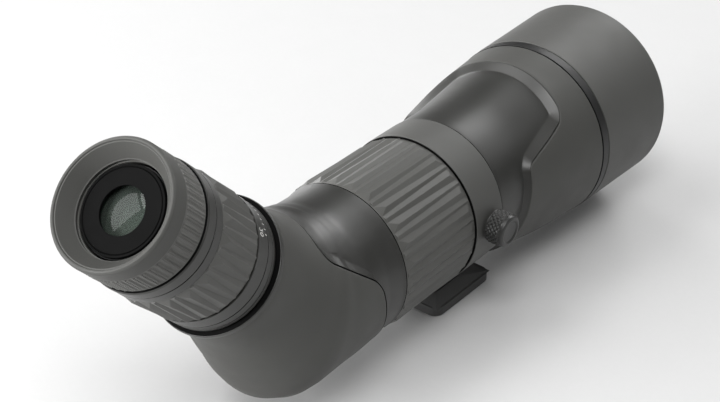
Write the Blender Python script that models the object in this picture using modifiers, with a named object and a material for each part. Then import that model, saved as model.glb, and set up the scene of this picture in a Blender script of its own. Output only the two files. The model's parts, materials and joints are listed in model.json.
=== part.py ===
"""Angled spotting scope with a zoom eyepiece, a rotating mount collar and a dovetail foot.

Frame: +Y is the viewing direction, +Z is up and +X is the lock knob's side.  The origin is the centre
of the foot's underside.  Lengths are in millimetres and are turned into metres by MM.
Two axes carry the turned parts.  Stations along the main barrel are Y positions, and stations along
the eyepiece count from the elbow, where the two axes cross.
"""
import math

import bmesh
import bpy
from mathutils import Vector

MM = 0.001

# Driving dimensions
AXIS_HEIGHT = 44.6          # barrel axis above the foot's underside
ELBOW = -101.0              # station where the eyepiece axis leaves the barrel axis
EYEPIECE_ANGLE = 45.0       # degrees between the two axes
HOOD_FRONT = 121.0
HOOD_REAR = 74.0
COLLAR_REAR = -16.0
COLLAR_FRONT = 2.2
HOUSING_FRONT = -62.5       # front face of the prism housing
GAP = 0.3                   # between pieces that touch
RUN = 0.4                   # between pieces that move on each other

# Radii of the main barrel's layers
TUBE_BORE = 25.6
TUBE_R = 28.0
LINER_R = 29.5
COLLAR_R = 32.9
CORE_R = 30.6               # focus ring under its rubber
GRIP_R = 32.9
NECK_R = 32.6
BARREL_R = 38.0             # front barrel inside the hood
OBJECTIVE_R = 31.9          # objective lenses, for 60 mm of clear glass

# Focus mechanism
FOCUS_TRAVEL = 4.0          # each way
FOCUS_TURN = 135.0          # degrees each way
FOCUS_PIN = -40.0           # station of the drive pin at rest
PIN_R = 1.2
SLOT_R = 1.6

# Zoom mechanism, stations and radii on the eyepiece axis
BARREL_BORE = 15.0
EYE_BARREL_R = 16.4
CAM_REAR, CAM_FRONT = 57.0, 83.0
CAM_R = 18.3
ZOOM_LOW, ZOOM_HIGH = -82.0, 48.0   # degrees of the zoom ring's turn
CELL_A_PIN, CELL_A_RATE = 63.0, 3.0     # station, and millimetres for each radian
CELL_B_PIN, CELL_B_RATE = 77.0, -2.2

# Eyecup
CUP_REAR = 99.0

# Foot, after the common 38 mm dovetail
FOOT_WIDTH = 38.0
FOOT_LENGTH = 40.0
FOOT_LIP = 4.3
FOOT_TOP = 12.5
FOOT_CORNER = 4.5

# Lock knob
KNOB_STATION = -6.3
KNOB_RISE = 2.2             # knob axis above the barrel axis
KNOB_R = 7.2
KNOB_FACE = 42.4            # X of its cap

SIDES = 28                  # sides of the large turned parts
SMALL_SIDES = 20


def clear_scene():
    for obj in list(bpy.data.objects):
        bpy.data.objects.remove(obj, do_unlink=True)


def new_collection(name):
    group = bpy.data.collections.new(name)
    bpy.context.scene.collection.children.link(group)
    return group


clear_scene()
PARTS = new_collection("spotting_scope")
CUTTERS = new_collection("cutters")


# Materials

def make_material(name, colour, roughness, metallic=0.0, transmission=0.0):
    material = bpy.data.materials.new(name)
    material.use_nodes = True
    shader = material.node_tree.nodes["Principled BSDF"]
    shader.inputs["Base Color"].default_value = (*colour, 1.0)
    shader.inputs["Roughness"].default_value = roughness
    shader.inputs["Metallic"].default_value = metallic
    shader.inputs["Transmission Weight"].default_value = transmission
    material.diffuse_color = (*colour, 1.0)
    return material


FINISHES = {
    "armour": ((0.085, 0.088, 0.078), 0.62),
    "painted": ((0.070, 0.073, 0.066), 0.42, 0.3),
    "grip": ((0.105, 0.108, 0.098), 0.55),
    "black": ((0.012, 0.012, 0.012), 0.5),
    "anodised": ((0.03, 0.03, 0.03), 0.45, 0.6),
    "steel": ((0.5, 0.5, 0.5), 0.3, 1.0),
    "brass": ((0.6, 0.45, 0.2), 0.35, 1.0),
    "nylon": ((0.75, 0.73, 0.68), 0.5),
    "seal": ((0.02, 0.02, 0.02), 0.7),
    "glass": ((0.85, 0.95, 0.9), 0.02, 0.0, 0.9),
}


def finish(obj, kind):
    obj.data.materials.clear()
    obj.data.materials.append(make_material(obj.name, *FINISHES[kind]))


# Placing

def make_axis(name, location, tilt):
    empty = bpy.data.objects.new(name, None)
    empty.location = [v * MM for v in location]
    empty.rotation_euler = [math.radians(v) for v in tilt]
    PARTS.objects.link(empty)
    return empty


FIXED = make_axis("mount_frame", (0, 0, 0), (0, 0, 0))
MAIN = make_axis("main_axis", (0, 0, AXIS_HEIGHT), (-90, 0, 0))
EYE = make_axis("eyepiece_axis", (0, ELBOW, AXIS_HEIGHT), (EYEPIECE_ANGLE, 0, 0))
LOCK = make_axis("lock_axis", (0, KNOB_STATION, AXIS_HEIGHT + KNOB_RISE), (0, 90, 0))
SIDE = make_axis("side_plane", (0, 0, AXIS_HEIGHT), (90, 0, 90))


def place(name, mesh, axis, kind=None):
    """Link a mesh as an object under an axis; without a finish it is a cutter."""
    obj = bpy.data.objects.new(name, mesh)
    obj.parent = axis
    if kind:
        PARTS.objects.link(obj)
        finish(obj, kind)
    else:
        CUTTERS.objects.link(obj)
        obj.hide_render = True
        obj.display_type = "WIRE"
    return obj


def combine(obj, other, operation="DIFFERENCE"):
    modifier = obj.modifiers.new(operation.lower(), "BOOLEAN")
    modifier.operation = operation
    modifier.solver = "EXACT"
    modifier.object = other


# Shapes

def smooth(mesh):
    mesh.shade_smooth()
    mesh.set_sharp_from_angle(angle=math.radians(30))


def turned(name, profile, axis, kind=None, sides=SIDES):
    """Turn a profile of (station, radius) points round the axis.

    A profile that starts and ends at radius 0 makes a solid, and any other is closed into a ring.
    """
    points = list(profile)
    area = sum(a[1] * b[0] - b[1] * a[0] for a, b in zip(points, points[1:] + points[:1]))
    if area > 0:
        points.reverse()
    solid = points[0][1] == 0 and points[-1][1] == 0
    mesh = bpy.data.meshes.new(name)
    shape = bmesh.new()
    verts = [shape.verts.new((r * MM, 0, s * MM)) for s, r in points]
    ends = verts[1:] if solid else verts[1:] + verts[:1]
    for start, end in zip(verts, ends):
        shape.edges.new((start, end))
    shape.to_mesh(mesh)
    shape.free()
    obj = place(name, mesh, axis, kind)
    screw = obj.modifiers.new("turn", "SCREW")
    screw.angle = math.tau
    screw.steps = sides
    screw.render_steps = sides
    screw.use_merge_vertices = True
    screw.merge_threshold = 0.00001
    screw.use_smooth_shade = True
    return obj


def ring(name, rear, front, inner, outer, axis, kind=None, sides=SIDES, bevel=0.0):
    """A plain ring, with its two outer corners broken by bevel."""
    corners = [(rear, outer), (front, outer)]
    if bevel:
        corners = [(rear, outer - bevel), (rear + bevel, outer)]
        corners += [(front - bevel, outer), (front, outer - bevel)]
    return turned(name, [(rear, inner), *corners, (front, inner)], axis, kind, sides)


def rod(name, start, end, radius, axis, kind=None, sides=16):
    profile = [(start, 0), (start, radius), (end, radius), (end, 0)]
    return turned(name, profile, axis, kind, sides)


def arc_points(station, radius, sag, count=3):
    """Points of a shallow spherical face from its centre out to its rim; sag > 0 bulges forward."""
    if abs(sag) < 0.01:
        return [(station, 0), (station, radius)]
    sphere = (radius ** 2 + sag ** 2) / (2 * abs(sag))
    points = []
    for i in range(count + 1):
        r = radius * i / count
        drop = sphere - math.sqrt(sphere ** 2 - r ** 2)
        points.append((station - math.copysign(drop, sag), r))
    return points


def lens(name, rear, front, radius, rear_sag, front_sag, axis, sides=SMALL_SIDES):
    """A lens between two centre stations; positive sags bulge forward."""
    profile = arc_points(rear, radius, rear_sag)
    profile += list(reversed(arc_points(front, radius, front_sag)))
    return turned(name, profile, axis, "glass", sides)


def rounded(corners, radius, count=3):
    """Replace each corner of a closed outline by an arc."""
    points = []
    total = len(corners)
    for i, corner in enumerate(corners):
        here = Vector(corner)
        before = (Vector(corners[i - 1]) - here).normalized()
        after = (Vector(corners[(i + 1) % total]) - here).normalized()
        half = before.angle(after) / 2
        centre = here + (before + after).normalized() * radius / math.sin(half)
        start = (here + before * radius / math.tan(half) - centre).normalized()
        end = (here + after * radius / math.tan(half) - centre).normalized()
        for k in range(count + 1):
            points.append(tuple(centre + start.slerp(end, k / count) * radius))
    return points


def outline(name, outlines, depth, axis, kind=None, offset=(0, 0, 0)):
    """Extrude flat outlines (the second and later ones are holes) to a depth, as a mesh."""
    curve = bpy.data.curves.new(name, "CURVE")
    curve.dimensions = "2D"
    curve.fill_mode = "BOTH"
    curve.extrude = depth * MM / 2
    for points in outlines:
        spline = curve.splines.new("POLY")
        spline.points.add(len(points) - 1)
        for point, (x, y) in zip(spline.points, points):
            point.co = (x * MM, y * MM, 0, 1)
        spline.use_cyclic_u = True
    source = bpy.data.objects.new(name + "_curve", curve)
    CUTTERS.objects.link(source)
    bpy.context.view_layer.update()
    graph = bpy.context.evaluated_depsgraph_get()
    mesh = bpy.data.meshes.new_from_object(source.evaluated_get(graph))
    bpy.data.objects.remove(source)
    shape = bmesh.new()
    shape.from_mesh(mesh)
    bmesh.ops.remove_doubles(shape, verts=shape.verts, dist=0.00001)
    bmesh.ops.recalc_face_normals(shape, faces=shape.faces)
    shape.to_mesh(mesh)
    shape.free()
    mesh.name = name
    obj = place(name, mesh, axis, kind)
    obj.location = [v * MM for v in offset]
    return obj


def circle(radius, count):
    step = math.tau / count
    return [(radius * math.cos(i * step), radius * math.sin(i * step)) for i in range(count)]


def fluted(name, rear, front, inner, tip, valley, flutes, axis, kind):
    """A ring whose outside is cut into straight V flutes."""
    step = math.pi / flutes
    radii = [tip if i % 2 == 0 else valley for i in range(2 * flutes)]
    outer = [(r * math.cos(i * step), r * math.sin(i * step)) for i, r in enumerate(radii)]
    middle = (rear + front) / 2
    return outline(name, [outer, circle(inner, SIDES)], front - rear, axis, kind, (0, 0, middle))


def block(name, low, high, axis, kind=None):
    """A box between two corners in the axis's own frame."""
    mesh = bpy.data.meshes.new(name)
    shape = bmesh.new()
    bmesh.ops.create_cube(shape, size=1.0)
    size = [(b - a) * MM for a, b in zip(low, high)]
    bmesh.ops.scale(shape, vec=size, verts=shape.verts)
    shape.to_mesh(mesh)
    shape.free()
    obj = place(name, mesh, axis, kind)
    obj.location = [(a + b) / 2 * MM for a, b in zip(low, high)]
    return obj


def radial(obj, station, angle):
    """Lay an object that stands along its own Z on a radius of its axis.

    The angle counts from the axis frame's +Y towards +X.
    """
    obj.location = (0, 0, station * MM)
    obj.rotation_euler = (math.radians(-90), 0, math.radians(-angle))
    return obj


def helix_cutter(name, station, rate, middle, low, high, radius, reach, axis):
    """A round-nosed cutter along a helix, for the slot that a pin follows.

    It is centred on a radius, swept from low to high degrees about the middle angle, and moves
    along the axis by rate millimetres for each radian.  reach is the pin's length to clear.
    """
    margin = math.degrees(SLOT_R / radius)
    count = math.ceil((high - low) / 15)
    angles = [low - margin + (high - low + 2 * margin) * i / count for i in range(count + 1)]
    mesh = bpy.data.meshes.new(name)
    shape = bmesh.new()
    rows = []
    for angle in angles:
        theta = math.radians(middle + angle)
        along = station + rate * math.radians(angle)
        row = []
        for r, side in ((radius, -1), (radius + reach, -1), (radius + reach, 1), (radius, 1)):
            spot = (r * math.sin(theta), r * math.cos(theta), along + side * SLOT_R)
            row.append(shape.verts.new([v * MM for v in spot]))
        rows.append(row)
    for first, second in zip(rows, rows[1:]):
        for i in range(4):
            j = (i + 1) % 4
            shape.faces.new((first[i], first[j], second[j], second[i]))
    shape.faces.new(rows[0])
    shape.faces.new(rows[-1])
    bmesh.ops.recalc_face_normals(shape, faces=shape.faces)
    shape.to_mesh(mesh)
    shape.free()
    return place(name, mesh, axis)


# The elbow: near-round sections swept along the two axes and the bend that joins them

BEND_START = 20.0           # distance from the elbow to either end of the bend
END_STATION = 47.8          # where the housing meets the eyepiece flange

# (distance along the spine from the housing's front, outer radius of the rubber)
ARMOUR_RADII = ((0, 32.0), (9, 32.5), (17, 33.2), (24, 33.8), (32, 34.6), (38, 35.0), (43, 34.6),
                (48, 33.0), (53, 31.4), (60, 29.2), (67, 27.4), (74, 26.4), (86, 25.8))

# The heel under the prism bulges out of the round sections
HEEL_BULGE = 6.0
HEEL_PLACE = 43.5
HEEL_SPREAD = 7.0


def mix_table(table, x):
    """Read a table of (x, value) rows, with straight lines between them."""
    for (x0, v0), (x1, v1) in zip(table, table[1:]):
        if x <= x1:
            return v0 + (v1 - v0) * (x - x0) / (x1 - x0)
    return table[-1][1]


def spine_point(distance):
    """Station, height above the main axis and tilt at a distance along the elbow's spine."""
    angle = math.radians(EYEPIECE_ANGLE)
    bend_radius = BEND_START / math.tan(angle / 2)
    straight = HOUSING_FRONT - (ELBOW + BEND_START)
    bend = bend_radius * angle
    if distance <= straight:
        return HOUSING_FRONT - distance, 0.0, 0.0
    if distance <= straight + bend:
        turn = (distance - straight) / bend_radius
        station = ELBOW + BEND_START - bend_radius * math.sin(turn)
        return station, bend_radius * (1 - math.cos(turn)), turn
    along = BEND_START + distance - straight - bend
    return ELBOW - along * math.cos(angle), along * math.sin(angle), angle


def spine_length():
    angle = math.radians(EYEPIECE_ANGLE)
    bend = BEND_START / math.tan(angle / 2) * angle
    return HOUSING_FRONT - (ELBOW + BEND_START) + bend + END_STATION - BEND_START


def section(shape, distance, radius, sides):
    """One section of the elbow, in the main axis's frame."""
    station, height, tilt = spine_point(distance)
    bulge = HEEL_BULGE * math.exp(-((distance - HEEL_PLACE) / HEEL_SPREAD) ** 2)
    verts = []
    for i in range(sides):
        theta = math.tau * i / sides
        reach = radius + bulge * ((1 - math.cos(theta)) / 2) ** 1.5
        across = reach * math.sin(theta)
        up = reach * math.cos(theta)
        spot = (across, -(height + up * math.cos(tilt)), station + up * math.sin(tilt))
        verts.append(shape.verts.new([v * MM for v in spot]))
    return verts


def elbow_shell(name, outer, inner, kind, sides=28):
    """Loft a shell between an outer and an inner list of (distance, radius) sections."""
    mesh = bpy.data.meshes.new(name)
    shape = bmesh.new()
    rows = [section(shape, d, r, sides) for d, r in outer]
    rows += [section(shape, d, r, sides) for d, r in reversed(inner)]
    for first, second in zip(rows, rows[1:] + rows[:1]):
        for i in range(sides):
            j = (i + 1) % sides
            shape.faces.new((first[i], first[j], second[j], second[i]))
    bmesh.ops.recalc_face_normals(shape, faces=shape.faces)
    shape.to_mesh(mesh)
    shape.free()
    smooth(mesh)
    return place(name, mesh, MAIN, kind)


ARMOUR_STEP = 1.3           # how far the rubber stands above the bare housing
HOUSING_WALL = 2.4


def housing_radius(distance):
    """Outer radius of the bare housing, which meets the rubber's level at its front collar."""
    rubber = mix_table(ARMOUR_RADII, distance)
    return rubber - ARMOUR_STEP * min(1.0, distance / 12)


def make_rear_housing():
    length = spine_length()
    marks = [0, 12, 22, 31, 37, 41, 45, 50, 56, 64, 74, length]
    outer = [(d, housing_radius(d)) for d in marks]
    inner = [(0, TUBE_R + GAP), (11, TUBE_R + GAP), (11, 29.0)]
    inner += [(d, housing_radius(d) - HOUSING_WALL) for d in (22, 34, 40, 46, 53, 64, length)]
    elbow_shell("rear_housing", outer, inner, "painted")

    front = 8.0
    outer = [(d, mix_table(ARMOUR_RADII, d)) for d in [front, *marks[2:]]]
    inner = [(d, housing_radius(d) + GAP) for d in [front, *marks[2:]]]
    armour = elbow_shell("rear_armour", outer, inner, "armour")
    combine(armour, rear_window())


def rear_window():
    """The side-view outline in front of which the elbow is left bare, with its rubber cut away."""
    top, bottom, ahead = 60.0, -50.0, 40.0
    edge = [(-103.5, 31.0), (-78.6, 12.3), (-76.0, 6.0), (-73.2, bottom)]
    corners = [(-103.5, top), *edge, (ahead, bottom), (ahead, top)]
    return outline("rear_window", [rounded(corners, 3.5)], 90, SIDE)


def make_prism_unit():
    plate_front = -91.6
    ring("prism_plate", plate_front - 2, plate_front, 13.0, 28.5, MAIN, "anodised")

    face = 34.0                  # length of the entrance and exit faces
    width = 26.0
    entry = plate_front - 2.4
    angle = math.radians(EYEPIECE_ANGLE)
    top = (entry, face / 2)
    foot = (entry, -face / 2)
    heel = (entry - face * math.sin(angle), face / 2 - face * math.cos(angle))
    outline("roof_prism", [rounded([top, heel, foot], 0.8, 1)], width, SIDE, "glass")

    inner, outer = width / 2 + GAP, width / 2 + 1.3
    back = -heel[0] + 0.6
    near = -entry + 0.4
    strap = [(-outer, near), (-outer, back + 1), (outer, back + 1), (outer, near),
             (inner, near), (inner, back), (-inner, back), (-inner, near)]
    frame = outline("prism_strap", [strap], 5.0, FIXED, "steel", (0, 0, AXIS_HEIGHT - 7.2))
    frame.rotation_euler = (0, 0, math.pi)


# Main barrel

def make_main_tube():
    bevel = 0.8
    profile = [(-72.5, TUBE_BORE), (-72.5, TUBE_R - bevel), (-72.5 + bevel, TUBE_R),
               (14.0 - bevel, TUBE_R), (14.0, TUBE_R - bevel), (14.0, TUBE_BORE)]
    tube = turned("main_tube", profile, MAIN, "anodised")
    reach = FOCUS_TRAVEL + SLOT_R
    slot = block("focus_slot", (-SLOT_R, -TUBE_R - 3, FOCUS_PIN - reach),
                 (SLOT_R, -TUBE_R + 5, FOCUS_PIN + reach), MAIN)
    combine(tube, slot)


def make_focus():
    rear, front = HOUSING_FRONT + RUN, COLLAR_REAR - RUN
    core = ring("focus_ring", rear, front, TUBE_R + RUN, CORE_R, MAIN, "anodised")
    rate = FOCUS_TRAVEL / math.radians(FOCUS_TURN)
    groove = helix_cutter("focus_groove", FOCUS_PIN, rate, 180, -FOCUS_TURN, FOCUS_TURN,
                          TUBE_R - 1, 2.8, MAIN)
    combine(core, groove)
    fluted("focus_grip", rear, front, CORE_R + GAP, GRIP_R, GRIP_R - 1.0, 50, MAIN, "grip")

    outer = TUBE_BORE - RUN
    half = 6.5
    profile = [(FOCUS_PIN - half, 19.0), (FOCUS_PIN - half, outer), (FOCUS_PIN + half, outer),
               (FOCUS_PIN + half, 22.4), (FOCUS_PIN - half + 2, 22.4), (FOCUS_PIN - half + 2, 19.0)]
    cell = turned("focus_cell", profile, MAIN, "anodised")
    hole = radial(rod("focus_pin_hole", 23.4, 26.5, PIN_R + GAP, MAIN), FOCUS_PIN, 180)
    combine(cell, hole)
    radial(rod("focus_pin", 23.7, TUBE_R + 1.2, PIN_R, MAIN, "steel"), FOCUS_PIN, 180)
    rear_face = FOCUS_PIN - half + 2 + GAP
    lens("focus_lens", rear_face + 1.6, rear_face + 4.2, 22.1, 1.6, -0.8, MAIN)
    ring("focus_lens_retainer", rear_face + 5.8, rear_face + 8.2, 20.0, 22.1, MAIN, "black",
         SMALL_SIDES)


def make_front_barrel():
    rear = COLLAR_FRONT + RUN
    ledge = 87.0
    outer = [(rear, NECK_R), (18, NECK_R), (34, 34.0), (49.5, 36.2), (69.0, BARREL_R), (112.0, BARREL_R)]
    inner = [(112.0, 35.3), (ledge, 35.3), (ledge, 33.4), (14.4, 26.0), (14.4, TUBE_R + GAP),
             (rear, TUBE_R + GAP)]
    turned("front_barrel", outer + inner, MAIN, "painted")


BELL_RADII = ((8.8, 33.3), (13.2, 33.9), (21.8, 35.7), (34.0, 37.2), (47.7, 38.9), (69.0, 40.5))


def make_front_armour():
    inner = [(69.0, BARREL_R + GAP), (49.5, 36.5), (34, 34.3), (18, NECK_R + GAP), (8.8, NECK_R + GAP)]
    armour = turned("front_armour", list(BELL_RADII) + inner, MAIN, "armour")
    top, bottom, behind = 60.0, -50.0, -20.0
    edge = [(48.8, 30.0), (45.8, 25.2), (16.4, 17.0), (13.0, 13.0), (9.0, bottom)]
    corners = [(behind, top), (behind, bottom), *reversed(edge), (48.8, top)]
    combine(armour, outline("front_window", [rounded(corners, 2.4)], 90, SIDE))


def make_objective():
    rear = 87.3
    lip, bore, outer = 30.2, OBJECTIVE_R + GAP, 35.0
    groove, groove_depth = 98.0, 1.3
    profile = [(rear, lip), (rear, outer), (groove, outer), (groove, outer - groove_depth),
               (groove + 2.6, outer - groove_depth), (groove + 2.6, outer), (110.6, outer),
               (110.6, bore), (rear + 2, bore), (rear + 2, lip)]
    turned("objective_cell", profile, MAIN, "black")
    ring("objective_seal", groove + GAP, groove + 2.3, outer - groove_depth + GAP, outer + 0.1, MAIN,
         "seal")
    seat = rear + 2 + GAP
    lens("objective_rear_lens", seat + 1.0, seat + 4.6, OBJECTIVE_R, 1.0, -1.6, MAIN, SIDES)
    spacer = seat + 6.5
    ring("objective_spacer", spacer, spacer + 0.9, 30.4, OBJECTIVE_R, MAIN, "brass")
    lens("objective_front_lens", spacer + 1.2 - 2.0 + 0.6, spacer + 9.0, OBJECTIVE_R, -1.4, 3.4,
         MAIN, SIDES)
    face = spacer + 9.0 - 3.4 + GAP
    ring("objective_retainer", face, face + 3.5, 30.3, OBJECTIVE_R, MAIN, "black")


def make_hood():
    inner = BARREL_R + 0.7
    front = HOOD_FRONT
    profile = [(HOOD_REAR, inner), (HOOD_REAR, 40.9), (96, 41.4), (front - 1.6, 42.0),
               (front - 0.4, 41.8), (front, 41.2), (front, 40.0), (front - 1.5, inner)]
    turned("sunshade", profile, MAIN, "painted")
    ring("hood_friction_ring", 106.0, 108.4, BARREL_R - 0.9, BARREL_R + 0.35, MAIN, "seal")
    barrel = bpy.data.objects["front_barrel"]
    combine(barrel, ring("friction_groove", 105.7, 108.7, BARREL_R - 1.2, BARREL_R + 1, MAIN))
    ring("trim_band", 69.3, 73.6, BARREL_R + GAP, 40.7, MAIN, "black")


# Collar, foot and lock

def make_collar():
    rear, front = COLLAR_REAR, COLLAR_FRONT
    collar = ring("collar_ring", rear, front, LINER_R + GAP, COLLAR_R, MAIN, "painted", SIDES, 0.3)
    liner = ring("collar_liner", rear + 0.5, front - 0.5, TUBE_R + RUN, LINER_R, MAIN, "nylon")
    pocket = [(20, 0), (20, 4.4), (31.3, 4.4), (31.3, 2.8), (COLLAR_R + 3, 2.8), (COLLAR_R + 3, 0)]
    cutter = turned("lock_pocket", pocket, LOCK, None, 20)
    combine(collar, cutter)
    combine(liner, cutter)
    return collar


def make_foot(collar):
    half = FOOT_WIDTH / 2
    long = FOOT_LENGTH / 2
    corners = [(-half, -long), (half, -long), (half, long), (-half, long)]
    plate = outline("mount_foot", [rounded(corners, FOOT_CORNER)], FOOT_LIP, FIXED, "painted",
                    (0, 0, FOOT_LIP / 2))

    # Above the lip the foot draws in at 45 degrees on three sides and slopes gently to the front
    rise = FOOT_TOP - FOOT_LIP
    draw = 4.6
    mesh = bpy.data.meshes.new("foot_upper")
    shape = bmesh.new()
    bmesh.ops.create_cube(shape, size=1.0)
    for vert in shape.verts:
        upper = vert.co.z > 0
        inset = draw if upper else 0.4
        x = math.copysign(half - inset, vert.co.x)
        y = (COLLAR_FRONT - 0.5 if upper else long - 0.4) if vert.co.y > 0 else -long + inset
        vert.co = (x * MM, y * MM, (FOOT_LIP - 0.5 + (rise * 0.62 if upper else 0)) * MM)
    shape.to_mesh(mesh)
    shape.free()
    combine(plate, place("foot_upper", mesh, FIXED), "UNION")
    saddle = block("foot_saddle", (-13, COLLAR_REAR, FOOT_LIP), (13, COLLAR_FRONT, FOOT_TOP + 4), FIXED)
    combine(plate, saddle, "UNION")
    combine(plate, rod("saddle_cut", -40, 40, COLLAR_R + GAP, MAIN, sides=96))

    for name, station in (("foot_screw_rear", -11.0), ("foot_screw_front", -2.8)):
        top = AXIS_HEIGHT - LINER_R - GAP
        head = [(5.6, 0), (5.6, 1.5), (12.0, 1.5), (13.6, 2.7), (top - 0.4, 2.7), (top - 0.4, 0)]
        screw = turned(name, head, FIXED, "steel", 16)
        screw.location = (0, station * MM, 0)
        hole = [(5.0, 0), (5.0, 1.8), (11.9, 1.8), (13.5, 3.0), (top + 3, 3.0), (top + 3, 0)]
        cutter = turned(name + "_hole", hole, FIXED, None, 16)
        cutter.location = (0, station * MM, 0)
        combine(plate, cutter)
        combine(collar, cutter)

    insert = ring("tripod_insert", 0.2, 5.0, 2.6, 4.6, FIXED, "brass", 24)
    insert.location = (0, 10.0 * MM, 0)
    hole = rod("insert_hole", -1, 5.3, 4.9, FIXED, sides=24)
    hole.location = (0, 10.0 * MM, 0)
    combine(plate, hole)


def make_lock():
    rod("lock_shoe", TUBE_R + RUN, TUBE_R + 2.0, 4.0, LOCK, "nylon", 24)
    rod("lock_stud", TUBE_R + 2.3, KNOB_FACE - 5, 2.4, LOCK, "steel")
    base = KNOB_FACE - 8.4
    step = math.pi / 20
    radii = [KNOB_R if i % 2 == 0 else KNOB_R - 0.5 for i in range(40)]
    outer = [(r * math.cos(i * step), r * math.sin(i * step)) for i, r in enumerate(radii)]
    knob = outline("lock_knob", [outer], 7.0, LOCK, "grip", (0, 0, base + 3.5))
    cap = [(base + 6.0, 0), (base + 6.0, KNOB_R - 0.7), (KNOB_FACE - 0.6, KNOB_R - 0.7),
           (KNOB_FACE, KNOB_R - 1.3), (KNOB_FACE, 5.2), (KNOB_FACE - 0.5, 4.8), (KNOB_FACE - 0.5, 0)]
    combine(knob, turned("knob_cap", cap, LOCK, None, 24), "UNION")
    combine(knob, rod("knob_hub", base - 0.8, base + 1, 4.5, LOCK, sides=24), "UNION")
    combine(knob, rod("stud_hole", 20, KNOB_FACE - 4.7, 2.7, LOCK))


# Eyepiece

def make_eyepiece_body():
    flange = [(45.5, EYE_BARREL_R + GAP), (45.5, 21.5), (48.1, 21.5), (48.1, 26.5), (50.8, 26.5),
              (50.8, 24.2), (53.0, 24.2), (53.0, 19.7), (56.4, 19.7), (56.4, EYE_BARREL_R + GAP)]
    turned("eyepiece_flange", flange, EYE, "painted")
    ring("index_ring", 53.3, 56.5, 20.0, 24.7, EYE, "painted")
    ring("zoom_stop_ring", 93.4, 98.5, 19.6, 24.3, EYE, "painted")

    barrel = ring("eyepiece_barrel", 46.0, 110.5, BARREL_BORE, EYE_BARREL_R, EYE, "anodised")
    for name, pin, rate, side in (("slot_a", CELL_A_PIN, CELL_A_RATE, 1),
                                  ("slot_b", CELL_B_PIN, CELL_B_RATE, -1)):
        ends = sorted(pin + rate * math.radians(v) for v in (ZOOM_LOW, ZOOM_HIGH))
        low = (min(side * 12, side * 20), -SLOT_R, ends[0] - SLOT_R)
        high = (max(side * 12, side * 20), SLOT_R, ends[1] + SLOT_R)
        combine(barrel, block(name, low, high, EYE))
    combine(barrel, block("key_slot", (-1.6, -20, 83.4), (1.6, -12, 99.4), EYE))


def make_zoom_ring():
    inner, wide = CAM_R + RUN, 19.6
    profile = [(56.9, inner), (56.9, 24.7), (63.6, 24.7), (63.6, 23.4),
               (88.9, 23.4), (88.9, 24.3), (93.0, 24.3), (93.0, wide), (CAM_FRONT + GAP, wide),
               (CAM_FRONT + GAP, inner)]
    core = turned("zoom_ring", profile, EYE, "painted")
    fluted("zoom_grip", 63.9, 88.6, 23.7, 25.2, 24.3, 40, EYE, "grip")

    cam = ring("zoom_cam_sleeve", CAM_REAR, CAM_FRONT, EYE_BARREL_R + RUN, CAM_R, EYE, "brass")
    for name, pin, rate, middle in (("cam_slot_a", CELL_A_PIN, CELL_A_RATE, 90),
                                    ("cam_slot_b", CELL_B_PIN, CELL_B_RATE, -90)):
        combine(cam, helix_cutter(name, pin, rate, middle, ZOOM_LOW, ZOOM_HIGH, 15.6, 4.0, EYE))

    station, angle = 70.5, 20
    radial(rod("zoom_drive_screw", 17.2, 23.2, 1.0, EYE, "steel", 12), station, angle)
    hole = radial(rod("drive_screw_hole", 14.0, 30.0, 1.3, EYE, None, 12), station, angle)
    combine(core, hole)
    combine(cam, hole)


def make_zoom_cell(letter, pin_station, side, length, sags):
    """A lens cell with its lens and the pin that reaches through the barrel into the cam."""
    outer = BARREL_BORE - RUN
    low, high = pin_station - length / 2, pin_station + length / 2
    profile = [(low, 9.8), (low, outer), (high, outer), (high, 11.5), (low + 1, 11.5), (low + 1, 9.8)]
    cell = turned("zoom_cell_" + letter, profile, EYE, "black", SMALL_SIDES)
    pin = radial(rod("zoom_pin_" + letter, 13.2, CAM_R - 0.2, PIN_R, EYE, None, 12), pin_station,
                 90 * side)
    combine(cell, pin, "UNION")
    rear = low + 1 + GAP
    rear_sag, front_sag, thickness = sags
    start = rear + max(0.0, rear_sag)
    lens("zoom_lens_" + letter, start, start + thickness, 11.2, rear_sag, front_sag, EYE)


def make_eye_lenses():
    outer = BARREL_BORE - GAP
    ring("field_stop", 86.0, 88.0, 8.0, outer, EYE, "black", SMALL_SIDES)
    profile = [(92.0, 11.2), (92.0, outer), (110.4, outer), (110.4, 12.6), (93.5, 12.6), (93.5, 11.2)]
    turned("eye_lens_cell", profile, EYE, "black", SMALL_SIDES)
    lens("eye_lens_inner", 94.6, 101.0, 12.3, 0.8, 1.8, EYE)
    ring("eye_lens_spacer", 100.1, 103.5, 10.6, 12.3, EYE, "black", SMALL_SIDES)
    lens("eye_lens_outer", 104.6, 109.6, 12.3, 0.7, 1.2, EYE)
    cap = [(110.8, 8.9), (110.8, 16.0), (112.3, 16.0), (111.7, 8.6)]
    turned("eye_lens_cap", cap, EYE, "black")


def make_eyecup():
    bore = EYE_BARREL_R + 0.6
    skirt = 19.2
    profile = [(88.0, bore), (88.0, skirt), (CUP_REAR, skirt), (CUP_REAR, 23.8), (111.2, 23.8),
               (111.2, bore)]
    turned("eyecup_sleeve", profile, EYE, "grip")
    rim = [(111.5, 17.3), (111.5, 23.6), (117.8, 23.0), (119.2, 22.0), (118.6, 21.1), (112.9, 17.2)]
    turned("eyecup_rubber", rim, EYE, "armour")

    guide = ring("eyecup_guide_ring", 84.0, 87.6, EYE_BARREL_R + RUN, 18.9, EYE, "nylon")
    combine(guide, block("guide_key", (-1.2, -17.6, 84.2), (1.2, -15.6, 87.2), EYE), "UNION")


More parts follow.
